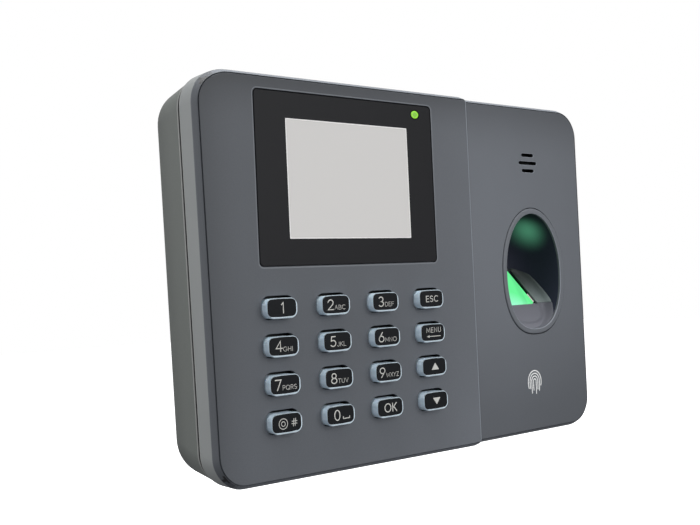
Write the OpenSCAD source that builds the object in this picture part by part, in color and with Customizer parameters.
// Wall-mounted fingerprint scanner terminal with display, 16-key keypad and finger recess.
// Frame: +X right, +Y into the wall, +Z up. Origin at the centre of the wall plate's back face.

/* [Body] */
// Width of the whole terminal
body_w = 200; // [198:1:204]
// Height of the left section
body_h = 146; // [145:0.5:148]
// Depth from the wall to the left face
body_d = 34; // [34:0.2:34.6]
// Outer corner radius
corner_r = 13; // [11:0.5:14]
// Wall thickness of the cover's sides
side_wall = 2.5; // [2:0.1:2.6]
// Thickness of the cover's face
face_wall = 2.2; // [2:0.1:2.3]
// How far the right section's face lies below the left one
face_step = 0.8; // [0.6:0.1:1]
// How much shorter the right section is at its top and bottom
side_step = 0.8; // [0.4:0.1:1]
// Where the left section ends
split_x = 27.9; // [27:0.1:29]

/* [Edges] */
// Width of the bevel around the face
bevel_w = 1.7; // [1.2:0.1:2]
// Depth of the bevel around the face
bevel_d = 2.5; // [2:0.1:3]
// Distance from the wall to the seam between cover and housing
seam_d = 22.5; // [22:0.1:23]
// Inset of the housing where it meets the cover
housing_inset = 0.4; // [0.3:0.1:0.6]
// Inset of the housing at its back
housing_draft = 1.6; // [1.2:0.1:3]

/* [Display] */
// Width of the display lens
lens_w = 85; // [84:0.5:86]
// Height of the display lens
lens_h = 63; // [62:0.5:64]
// Thickness of the display lens
lens_t = 1.2; // [1:0.1:1.3]
// Centre of the lens, along X
lens_x = -35.4; // [-36:0.1:-35]
// Centre of the lens, along Z
lens_z = 35.7; // [35:0.1:36]
// Radius of the status light
led_r = 1.6; // [1.2:0.1:1.8]

/* [Keypad] */
// Column pitch of the keys
key_px = 23.7; // [23:0.1:24]
// Row pitch of the keys
key_pz = 13.4; // [13:0.1:13.6]
// First key column
key_x = -71.4; // [-72:0.1:-71]
// First key row
key_z = -10.4; // [-10.6:0.1:-10]
// Width of a key
key_w = 13.2; // [12.6:0.1:13.4]
// Height of a key
key_h = 7.7; // [7.2:0.1:7.9]
// How far a key stands out of the face
key_out = 3.5; // [3:0.1:3.6]
// Travel of a key
key_travel = 1.2; // [1:0.1:1.3]

/* [Finger recess] */
// Centre of the recess, along X
rec_x = 65.5; // [65:0.1:66]
// Centre of the recess, along Z
rec_z = -1.2; // [-2:0.1:0]
// Half width of the recess opening
rec_a = 17.5; // [17:0.1:18]
// Half height of the recess opening
rec_b = 25.4; // [25:0.1:26]
// Width of the rim around the recess
rim_w = 2.5; // [2:0.1:2.6]
// Width of the sensor window
win_w = 18; // [17:0.5:18]
// Length of the sensor window along its slope
win_l = 21; // [20:0.5:21]

/* [Wall plate] */
// Width of the wall plate
plate_w = 140; // [138:1:141]
// Height of the wall plate
plate_h = 90; // [88:1:91]
// Thickness of the wall plate
plate_t = 1.5; // [1.2:0.1:1.6]
// Horizontal distance between the wall screw holes
hole_dx = 120; // [118:1:122]
// Vertical distance between the wall screw holes
hole_dz = 70; // [68:1:72]
// Radius of the wall screw holes
hole_r = 2.25; // [2:0.05:2.5]

/* [Hidden] */
$fn = 48;

hw = body_w / 2;
hh = body_h / 2;
hh2 = hh - side_step;
y_face = -body_d;
y_face2 = -body_d + face_step;
y_in = y_face + face_wall;
y_in2 = y_face2 + face_wall;
y_seam = -seam_d;
y_back = -0.5;
y_backin = -4.0;
y_recess = -plate_t - 0.5;
// Front faces of the boards
y_disp = -27.9;
y_kbd = -27.2;
y_main = -20;
board_t = 1.6;
disp_t = 1.2;
spk_x = 65.05;
spk_z = 46.6;
win_y = -25.8;
win_z = -15.6;
usb_x = 26.6;
reset_x = 13;
reset_y = -16.4;
tam_x = 40;
tam_z = -40;
lock_y = -9;
cover_posts = [[-86, 58], [-86, -58], [86, 58], [86, -58]];
main_posts = [[-74, 54], [-74, -54], [40, 54], [40, -56]];
kbd_posts = [[-84, -8], [-84, -46], [12.3, -8], [12.3, -46]];
disp_posts = [[-75.5, 8], [-75.5, 63], [5, 8], [5, 56]];
sen_posts = [[48.2, -25], [82.8, -25]];
plate_holes = [for (i = [-1, 1], j = [-1, 1]) [i * hole_dx / 2, j * hole_dz / 2]];

// Box between two corners
module bx(x0, x1, y0, y1, z0, z1) {
  translate([x0, y0, z0]) cube([x1 - x0, y1 - y0, z1 - z0]);
}
// Flat XZ shape made thick from y0 to y1
module slab(y0, y1) {
  translate([0, y1, 0]) rotate([90, 0, 0]) linear_extrude(height = y1 - y0) children();
}
// YZ shape made long from x0 to x1
module along_x(x0, x1) {
  translate([x0, 0, 0]) rotate([90, 0, 90]) linear_extrude(height = x1 - x0) children();
}
// Rounded rectangle centred on a point
module rr(w, h, r, x = 0, z = 0) {
  translate([x, z]) {
    square([w - 2 * r, h], center = true);
    square([w, h - 2 * r], center = true);
    for (i = [-1, 1], j = [-1, 1]) translate([i * (w / 2 - r), j * (h / 2 - r)]) circle(r = r);
  }
}
// Round bar along Y
module ycyl(x, z, r, y0, y1) {
  translate([x, y1, z]) rotate([90, 0, 0]) cylinder(r = r, h = y1 - y0);
}
// Oval of the recess, grown by g
module oval(g) {
  polygon([for (i = [0:63]) let (t = i * 360 / 64)
    [rec_x + (rec_a + g) * cos(t), rec_z + (rec_b + g) * sin(t) * (sin(t) < 0 ? 1 - 0.035 * pow(sin(t), 6) : 1)]]);
}
// Rounded block whose edge is inset by the second value of each profile step
module rblock(w, h, r, prof) {
  n = len(prof) - 1;
  along_x(-w + r, w - r) polygon(concat(
    [for (p = prof) [p[0], h - p[1]]],
    [for (i = [n:-1:0]) [prof[i][0], -h + prof[i][1]]]));
  translate([0, 0, -h + r]) linear_extrude(height = 2 * (h - r)) polygon(concat(
    [for (p = prof) [w - p[1], p[0]]],
    [for (i = [n:-1:0]) [-w + prof[i][1], prof[i][0]]]));
  for (i = [-1, 1], j = [-1, 1])
    translate([i * (w - r), 0, j * (h - r)]) rotate([90, 0, 0]) rotate_extrude() polygon(concat(
      [[0, -prof[0][0]]], [for (p = prof) [r - p[1], -p[0]]], [[0, -prof[n][0]]]));
}
// Machine screw along Y with its head towards the wall
module yscrew(x, z, y_head, shank, r, head_r, head_h) {
  difference() {
    union() {
      ycyl(x, z, r, y_head - shank, y_head);
      ycyl(x, z, head_r, y_head, y_head + head_h);
    }
    for (a = [0, 90]) translate([x, y_head + head_h, z]) rotate([0, a, 0])
      cube([head_r * 1.2, head_h, head_h * 0.4], center = true);
  }
}

module front_cover() {
  color("#5f6268") difference() {
    union() {
      difference() {
        union() {
          intersection() {
            rblock(hw, hh, corner_r, [[y_seam, 0], [y_face + bevel_d, 0], [y_face, bevel_w]]);
            bx(-hw - 1, split_x, -40, -20, -hh - 1, hh + 1);
          }
          intersection() {
            rblock(hw, hh2, corner_r - 0.5, [[y_seam, 0], [y_face2 + bevel_d, 0], [y_face2, bevel_w]]);
            bx(split_x - 0.5, hw + 1, -40, -20, -hh - 1, hh + 1);
          }
        }
        slab(y_in2, y_seam + 1) rr(2 * (hw - side_wall), 2 * (hh2 - side_wall), corner_r - side_wall);
        intersection() {
          slab(y_in, y_seam + 1) rr(2 * (hw - side_wall), 2 * (hh2 - side_wall), corner_r - side_wall);
          bx(-hw, split_x - 2.5, -40, -20, -hh, hh);
        }
      }
      for (p = cover_posts) ycyl(p[0], p[1], 3.6, y_in - 0.5, -22.2);
      for (p = kbd_posts) ycyl(p[0], p[1], 2.5, y_in - 0.4, y_kbd - 0.02);
      for (p = disp_posts) ycyl(p[0], p[1], 2.5, y_in - 0.4, y_disp - 0.02);
      for (p = sen_posts) ycyl(p[0], p[1], 2.5, y_in2 - 0.5, -24.02);
      difference() {
        ycyl(spk_x, spk_z, 15.4, y_in2 - 0.5, -27.5);
        ycyl(spk_x, spk_z, 14.2, y_in2, -27);
      }
    }
    // Pocket for the lens and the window behind it
    slab(y_face - 1, y_face + lens_t + 0.1) rr(lens_w + 0.2, lens_h + 0.2, 1.2, lens_x, lens_z);
    bx(-68, -3, y_face, y_in + 0.5, 10, 61);
    ycyl(-1.1, 63.4, led_r + 0.05, y_face, y_in + 0.5);
    // Key holes
    slab(y_face - 1, y_in + 0.3)
      for (i = [0:3], j = [0:3]) rr(key_w + 0.8, key_h + 0.8, 3.3, key_x + key_px * j, key_z - key_pz * i);
    // Sound slots
    slab(y_face - 1, y_in2 + 0.3)
      for (s = [[50.1, 7.7], [46.6, 11.5], [43.2, 7.7]]) {
        translate([spk_x, s[0]]) square([s[1] - 1.2, 1.2], center = true);
        for (k = [-1, 1]) translate([spk_x + k * (s[1] - 1.2) / 2, s[0]]) circle(r = 0.6);
      }
    // Finger recess
    slab(y_face - 1, y_in2 + 0.5) oval(rim_w + 0.15);
    for (p = cover_posts) ycyl(p[0], p[1], 1.55, -30.6, -22);
    for (p = kbd_posts) ycyl(p[0], p[1], 1.05, -30.6, -27);
    for (p = disp_posts) ycyl(p[0], p[1], 1.05, -30.6, -27.5);
    for (p = sen_posts) ycyl(p[0], p[1], 1.05, -29.5, -23.5);
  }
}

module rear_housing() {
  color("#5d625e") difference() {
    union() {
      difference() {
        rblock(hw, hh, corner_r, [[y_seam, housing_inset], [-3.5, housing_draft], [y_back, housing_draft + 2.5]]);
        rblock(hw, hh, corner_r, [[y_seam - 0.1, 2.9], [y_backin, 5]]);
      }
      // Lip that locates the cover
      difference() {
        slab(y_seam - 2, y_seam + 0.8) rr(2 * (hw - side_wall - 0.15), 2 * (hh2 - side_wall - 0.15), corner_r - side_wall - 0.15);
        slab(y_seam - 3, y_seam + 2) rr(2 * (hw - side_wall - 1.5), 2 * (hh2 - side_wall - 1.5), corner_r - side_wall - 1.5);
      }
      for (p = cover_posts) ycyl(p[0], p[1], 4.4, -22.1, y_backin + 0.5);
      for (p = main_posts) ycyl(p[0], p[1], 3, y_main + board_t + 0.02, y_backin + 0.5);
      for (p = plate_holes) ycyl(p[0], p[1], 8, -8.5, y_backin + 0.5);
      // Sleeve around the tamper plunger
      ycyl(tam_x, tam_z, 3.4, -4.6, y_backin + 0.5);
    }
    // Recess for the wall plate and its tab
    bx(-plate_w / 2 - 0.6, plate_w / 2 + 0.6, y_recess, 1, -plate_h / 2 - 0.6, plate_h / 2 + 0.6);
    bx(-8.6, 8.6, y_recess, 1, -63.2, -plate_h / 2);
    bx(-8.6, 8.6, -5, 1, -63.2, -59.8);
    // Room for the wall screws' heads
    for (p = plate_holes) ycyl(p[0], p[1], 6.5, -7, 1);
    // Cable bay and hook slots
    bx(-31, 31, -5, 1, -29, 7);
    for (i = [-1, 1]) bx(i * 41 - 5, i * 41 + 5, -5, 1, 33.5, 42.6);
    // Cover screws
    for (p = cover_posts) {
      ycyl(p[0], p[1], 3.2, -20.4, 1);
      ycyl(p[0], p[1], 1.7, -23, 1);
    }
    for (p = main_posts) ycyl(p[0], p[1], 1.05, -19, -11);
    // Openings in the underside
    bx(usb_x - 6.9, usb_x + 6.9, -18.9, -12.2, -76, -66);
    translate([reset_x, reset_y, -76]) cylinder(r = 1.7, h = 10);
    translate([0, lock_y, -76]) cylinder(r = 1.6, h = 10);
    translate([0, lock_y, -76]) cylinder(r = 3.1, h = 6.4);
    ycyl(tam_x, tam_z, 1.58, -6, 1);
    // Vents in the top
    for (i = [-4:4]) bx(-40 + i * 5 - 1, -40 + i * 5 + 1, -17, -8, 66, 76);
  }
}

module display_lens() {
  color("#1d1d1f") slab(y_face + 0.05, y_face + lens_t + 0.05) rr(lens_w, lens_h, 1.1, lens_x, lens_z);
}
module lcd_panel() {
  color("#cfcdca") bx(-70.2, -1, y_in + 0.1, -29.9, 10.45, 60.65);
}
module lcd_backlight() {
  color("#f1f1ec") bx(-70.2, -1, -29.9, -28.1, 10.45, 60.65);
}
module lcd_bezel() {
  color("#b9bcc0") difference() {
    bx(-71.1, -0.1, -31.5, -27.95, 9.55, 61.55);
    bx(-70.3, -0.9, -33, -27, 10.35, 60.75);
  }
}
module display_board() {
  color("#1f5d3a") difference() {
    bx(-79.5, 9, y_disp, y_disp + disp_t, 3, 68);
    for (p = disp_posts) ycyl(p[0], p[1], 1.2, -29, -26);
  }
}
module status_led() {
  color("#7ddc2c") {
    bx(-2.7, 0.5, -28.7, y_disp - 0.02, 61.8, 65);
    ycyl(-1.1, 63.4, 1.2, -29.6, -28.6);
  }
}
module light_pipe() {
  color("#a7f06a") ycyl(-1.1, 63.4, led_r, y_face + lens_t + 0.12, -29.7);
}
module display_ribbon() {
  color("#c98b2e") along_x(-50, -20) polygon([[-26.65, 26.2], [-26.65, 25.7], [-20.05, 16], [-20.05, 16.5]]);
}

module finger_guide() {
  color("#63666b") difference() {
    union() {
      // Raised rim, with room behind its lip for the shroud
      slab(y_face2 - 0.6, y_in2 + 0.4) difference() {
        oval(rim_w - 0.1);
        oval(0);
      }
      slab(y_in2 + 0.1, y_in2 + 1.6) difference() {
        oval(4.6);
        oval(0.5);
      }
      // Finger rest and the sloping shelf around the window
      intersection() {
        slab(y_face2 - 0.3, -5) oval(1.2);
        along_x(40, 90) polygon([[-33.4, -26.9], [win_y, win_z], [-7, 3.2], [-5.6, 1.8], [-24.2, -17], [-31.6, -28.6]]);
      }
    }
    // Seat of the shroud, above the sloping floor only
    intersection() {
      slab(y_face2 + 0.1, -5) difference() {
        oval(0.95);
        oval(-0.2);
      }
      along_x(40, 90) polygon([[-34, -27.9], [win_y, win_z + 0.05], [-4, 6.25], [-4, 40], [-34, 40]]);
    }
    translate([rec_x, win_y, win_z]) rotate([45, 0, 0]) translate([-win_w / 2, 0, -5]) cube([win_w, win_l, 8]);
  }
}
module sensor_shroud() {
  color("#17181b") difference() {
    slab(y_face2 + 0.15, -5) oval(0.85);
    slab(-40, -6.3) oval(0);
    along_x(40, 90) polygon([[-34.5, -28.5], [win_y, win_z + 0.15], [-4, 6.35], [-4, -40], [-34.5, -40]]);
  }
}
module platen_prism() {
  color("#7dffb0") along_x(rec_x - win_w / 2 + 0.2, rec_x + win_w / 2 - 0.2)
    polygon([[win_y + 0.3, win_z + 0.02], [-11.2, win_z + 0.02], [-11.2, -1.28]]);
}
module sensor_housing() {
  color("#202226") difference() {
    union() {
      along_x(52, 79) polygon([[-24.2, -21.5], [-4.4, -21.5], [-4.4, 2.5], [-24.2, -17.3]]);
      bx(45.4, 85.6, -24, -22.2, -28, -20.2);
    }
    difference() {
      along_x(53.5, 77.5) polygon([[-22.8, -20], [-5.8, -20], [-5.8, 6], [-22.8, -11]]);
      for (x = [53, 73.8]) bx(x, x + 4.2, -22.2, -11.4, -21, win_z);
    }
    bx(51, 54, -9.4, -7.2, -17, -7);
    for (p = sen_posts) ycyl(p[0], p[1], 1.2, -25, -21);
  }
}
module sensor_light_board() {
  color("#2a7d4a") {
    bx(57.6, 73.4, -22, -12, -19.8, -18.8);
    for (i = [0:3], j = [0:1]) bx(59.2 + i * 3.8, 60.8 + i * 3.8, -20.6 + j * 5, -19 + j * 5, -18.8, -18);
  }
}
module sensor_lens() {
  color("#30343c") {
    ycyl(65.5, -9.5, 3.4, -8.9, -7.45);
    ycyl(65.5, -9.5, 2.5, -10.6, -8.8);
  }
}
module sensor_board() {
  color("#1f5d3a") bx(55, 76, -7.4, -6.2, -19, -1.6);
}
module sensor_ribbon() {
  color("#c98b2e") translate([0, 0, -16]) linear_extrude(height = 8)
    polygon([[54.8, -8.1], [48.6, -8.1], [44.2, -18.35], [43.8, -18.3], [48.2, -7.8], [54.8, -7.8]]);
}

module keypad_mat() {
  color("#a9bccb") difference() {
    bx(-80.5, 9, y_kbd - 1, y_kbd - 0.03, -57.5, -3.5);
    slab(-30, -26) for (i = [0:3], j = [0:3]) rr(9.4, 5.4, 1.5, key_x + key_px * j, key_z - key_pz * i);
  }
}
module keypad_board() {
  color("#1f5d3a") difference() {
    union() {
      bx(-87.5, 15.8, y_kbd, y_kbd + board_t, -50, -2.5);
      bx(-80, 15.8, y_kbd, y_kbd + board_t, -58, -2.5);
    }
    for (p = kbd_posts) ycyl(p[0], p[1], 1.2, -29, -25);
  }
}
module keypad_ribbon() {
  color("#c98b2e") along_x(-40, -15) polygon([[-25.55, -48], [-25.55, -48.5], [-20.05, -42.5], [-20.05, -42]]);
}
// One key: column j, row i
module key_at(j, i) {
  x = key_x + key_px * j;
  z = key_z - key_pz * i;
  color("#a9bccb") {
    slab(y_face - key_out, y_face - 1.4) rr(key_w - 0.4, key_h - 0.7, 2.8, x, z);
    slab(y_face - 1.4, -30.4) rr(key_w, key_h, 2.95, x, z);
    slab(-31.4, -30.2) rr(key_w + 2, key_h + 2, 3, x, z);
    slab(-30.3, y_kbd - 1.45) rr(8, 4, 1.4, x, z);
  }
}

module main_board() {
  color("#1d6b45") difference() {
    bx(-80, 46, y_main, y_main + board_t, -62, 60);
    for (p = main_posts) ycyl(p[0], p[1], 1.2, -21, -17);
  }
}
module processor() {
  color("#26282b") {
    bx(-57, -43, y_main + board_t + 0.02, -16.9, 23, 37);
    bx(-30, -20, y_main + board_t + 0.02, -17.2, 26, 40);
    bx(-66, -54, y_main + board_t + 0.02, -17.2, -30, -22);
    bx(-66, -58, y_main + board_t + 0.02, -17.2, -10, 0);
  }
}
module heat_sink() {
  color("#9ea2a6") {
    bx(-62, -38, -16.88, -15.2, 18, 42);
    for (i = [0:6]) bx(-62 + i * 3.8, -60.8 + i * 3.8, -15.3, -9.8, 18, 42);
  }
}
module capacitors() {
  color("#3a3f52") for (x = [20, 29], z = [30, 41]) ycyl(x, z, 3, y_main + board_t + 0.02, -10);
}
module relay() {
  color("#2c62b5") bx(-10, 9, y_main + board_t + 0.02, -8.4, 28, 43);
}
module coin_cell() {
  color("#c5c7ca") ycyl(-62, -30, 10, -24.3, -21.1);
}
module coin_cell_holder() {
  color("#1e1f22") difference() {
    bx(-74, -50, -23.6, y_main - 0.02, -42, -18);
    ycyl(-62, -30, 10.2, -26, -21);
  }
}
module ethernet_jack() {
  color("#b7babd") difference() {
    bx(-27.5, -11.5, y_main + board_t + 0.02, -4.9, 2, 18);
    bx(-25.5, -13.5, -16.6, -8.2, 1, 15);
    bx(-22.5, -16.5, -8.3, -6, 1, 15);
  }
}
module dc_jack() {
  color("#1b1c1f") {
    difference() {
      bx(-6, 3, y_main + board_t + 0.02, -7.6, 3, 17);
      translate([-1.5, -12.9, 1]) cylinder(r = 3, h = 13);
    }
    translate([-1.5, -12.9, 3.5]) cylinder(r = 1, h = 11);
  }
}
module terminal_block() {
  color("#2f9a55") difference() {
    bx(8, 29, y_main + board_t + 0.02, -8.6, 4, 13);
    for (i = [0:3]) {
      bx(9.4 + i * 5, 12.8 + i * 5, -16, -12.2, 3, 9);
      ycyl(11.1 + i * 5, 8.6, 1.5, -10.5, -8);
    }
  }
}
module usb_port() {
  color("#b7babd") {
    difference() {
      bx(usb_x - 6.6, usb_x + 6.6, y_main + board_t + 0.02, -12.6, -71.4, -57.4);
      bx(usb_x - 6, usb_x + 6, -17.9, -13.1, -73, -58.6);
    }
    bx(usb_x - 5, usb_x + 5, -17.2, -15.4, -70.2, -58);
  }
}
module reset_switch() {
  color("#2a2c30") bx(reset_x - 3, reset_x + 3, y_main + board_t + 0.02, -14.2, -63, -58.5);
}
module reset_button() {
  color("#d8d9da") {
    translate([reset_x, reset_y, -71.2]) cylinder(r = 1.5, h = 7.6);
    translate([reset_x, reset_y, -68.9]) cylinder(r = 2.3, h = 1);
  }
}
module tamper_switch() {
  color("#2a2c30") bx(tam_x - 4, tam_x + 4, y_main + board_t + 0.02, -12, tam_z - 4, tam_z + 4);
}
module tamper_plunger() {
  color("#d6d6d2") {
    ycyl(tam_x, tam_z, 1.5, -10.7, -plate_t - 0.15);
    ycyl(tam_x, tam_z, 2.6, -6.4, -5.4);
  }
}
module speaker() {
  color("#34363a") translate([spk_x, 0, spk_z]) rotate([90, 0, 0]) rotate_extrude()
    polygon([[11.8, 30.6], [14, 30.6], [14, 29.6], [11.6, 28], [7.4, 26.8], [7.4, 23.6], [0, 23.6], [0, 27.4], [7, 27.4], [10.8, 28.6]]);
  color("#34363a") bx(51.9, 54.6, -29.7, -26.6, 42.2, 47.8);
}
module speaker_cone() {
  color("#1c1d20") translate([spk_x, 0, spk_z]) rotate([90, 0, 0]) rotate_extrude()
    polygon([[0, 28.5], [3.2, 28.1], [11.4, 30.1], [11.4, 30.4], [3.2, 28.5], [0, 28.9]]);
}
module speaker_wires() {
  color("#b3322c") for (dz = [0, 2.4]) translate([44.6, -20.6, 40.4 + dz]) {
    v = [8, -5.35, 3.05];
    l = norm(v);
    rotate([0, acos(v[2] / l), atan2(v[1], v[0])]) cylinder(r = 0.55, h = l);
  }
}

module wall_plate() {
  color("#9a9da1") difference() {
    union() {
      bx(-plate_w / 2, plate_w / 2, -plate_t, 0, -plate_h / 2, plate_h / 2);
      for (i = [-1, 1]) {
        bx(i * 41 - 4, i * 41 + 4, -5.8, -plate_t + 0.1, 34.5, 36);
        bx(i * 41 - 4, i * 41 + 4, -5.8, -4.5, 34.5, 41);
      }
      bx(-8, 8, -plate_t, 0, -62.4, -plate_h / 2 + 0.1);
      bx(-8, 8, -13, 0, -62.4, -60.9);
    }
    for (p = plate_holes) ycyl(p[0], p[1], hole_r, -3, 1);
    bx(-30, 30, -3, 1, -28, 6);
    translate([0, lock_y, -64]) cylinder(r = 1.3, h = 5);
  }
}
module housing_screws() {
  color("#8b8e92") for (p = cover_posts) yscrew(p[0], p[1], -20.38, 9, 1.5, 2.8, 2);
}
module internal_screws() {
  color("#8b8e92") {
    for (p = kbd_posts) yscrew(p[0], p[1], y_kbd + board_t + 0.02, 4.6, 1, 2.1, 1.3);
    for (p = disp_posts) yscrew(p[0], p[1], y_disp + disp_t + 0.02, 3.8, 1, 2.1, 1.3);
    for (p = sen_posts) yscrew(p[0], p[1], -22.18, 6, 1, 2.1, 1.3);
    for (p = main_posts) mirror([0, 1, 0]) yscrew(p[0], p[1], -y_main + 0.02, 6, 1, 2.1, 1.3);
  }
}
module plate_lock_screw() {
  color("#8b8e92") difference() {
    union() {
      translate([0, lock_y, -69.7]) cylinder(r = 1.25, h = 12.7);
      translate([0, lock_y, -71]) cylinder(r = 2.8, h = 1.35);
    }
    for (a = [0, 90]) translate([0, lock_y, -71]) rotate([0, 0, a]) cube([3.4, 0.7, 1.2], center = true);
  }
}

front_cover();
rear_housing();
display_lens();
lcd_panel();
lcd_backlight();
lcd_bezel();
display_board();
status_led();
light_pipe();
display_ribbon();
finger_guide();
sensor_shroud();
platen_prism();
sensor_housing();
sensor_light_board();
sensor_lens();
sensor_board();
sensor_ribbon();
keypad_mat();
keypad_board();
keypad_ribbon();
key_at(0, 0);  // key_1
key_at(1, 0);  // key_2
key_at(2, 0);  // key_3
key_at(3, 0);  // key_esc
key_at(0, 1);  // key_4
key_at(1, 1);  // key_5
key_at(2, 1);  // key_6
key_at(3, 1);  // key_menu
key_at(0, 2);  // key_7
key_at(1, 2);  // key_8
key_at(2, 2);  // key_9
key_at(3, 2);  // key_up
key_at(0, 3);  // key_hash
key_at(1, 3);  // key_0
key_at(2, 3);  // key_ok
key_at(3, 3);  // key_down
main_board();
processor();
heat_sink();
capacitors();
relay();
coin_cell();
coin_cell_holder();
ethernet_jack();
dc_jack();
terminal_block();
usb_port();
reset_switch();
reset_button();
tamper_switch();
tamper_plunger();
speaker();
speaker_cone();
speaker_wires();
wall_plate();
housing_screws();
internal_screws();
plate_lock_screw();
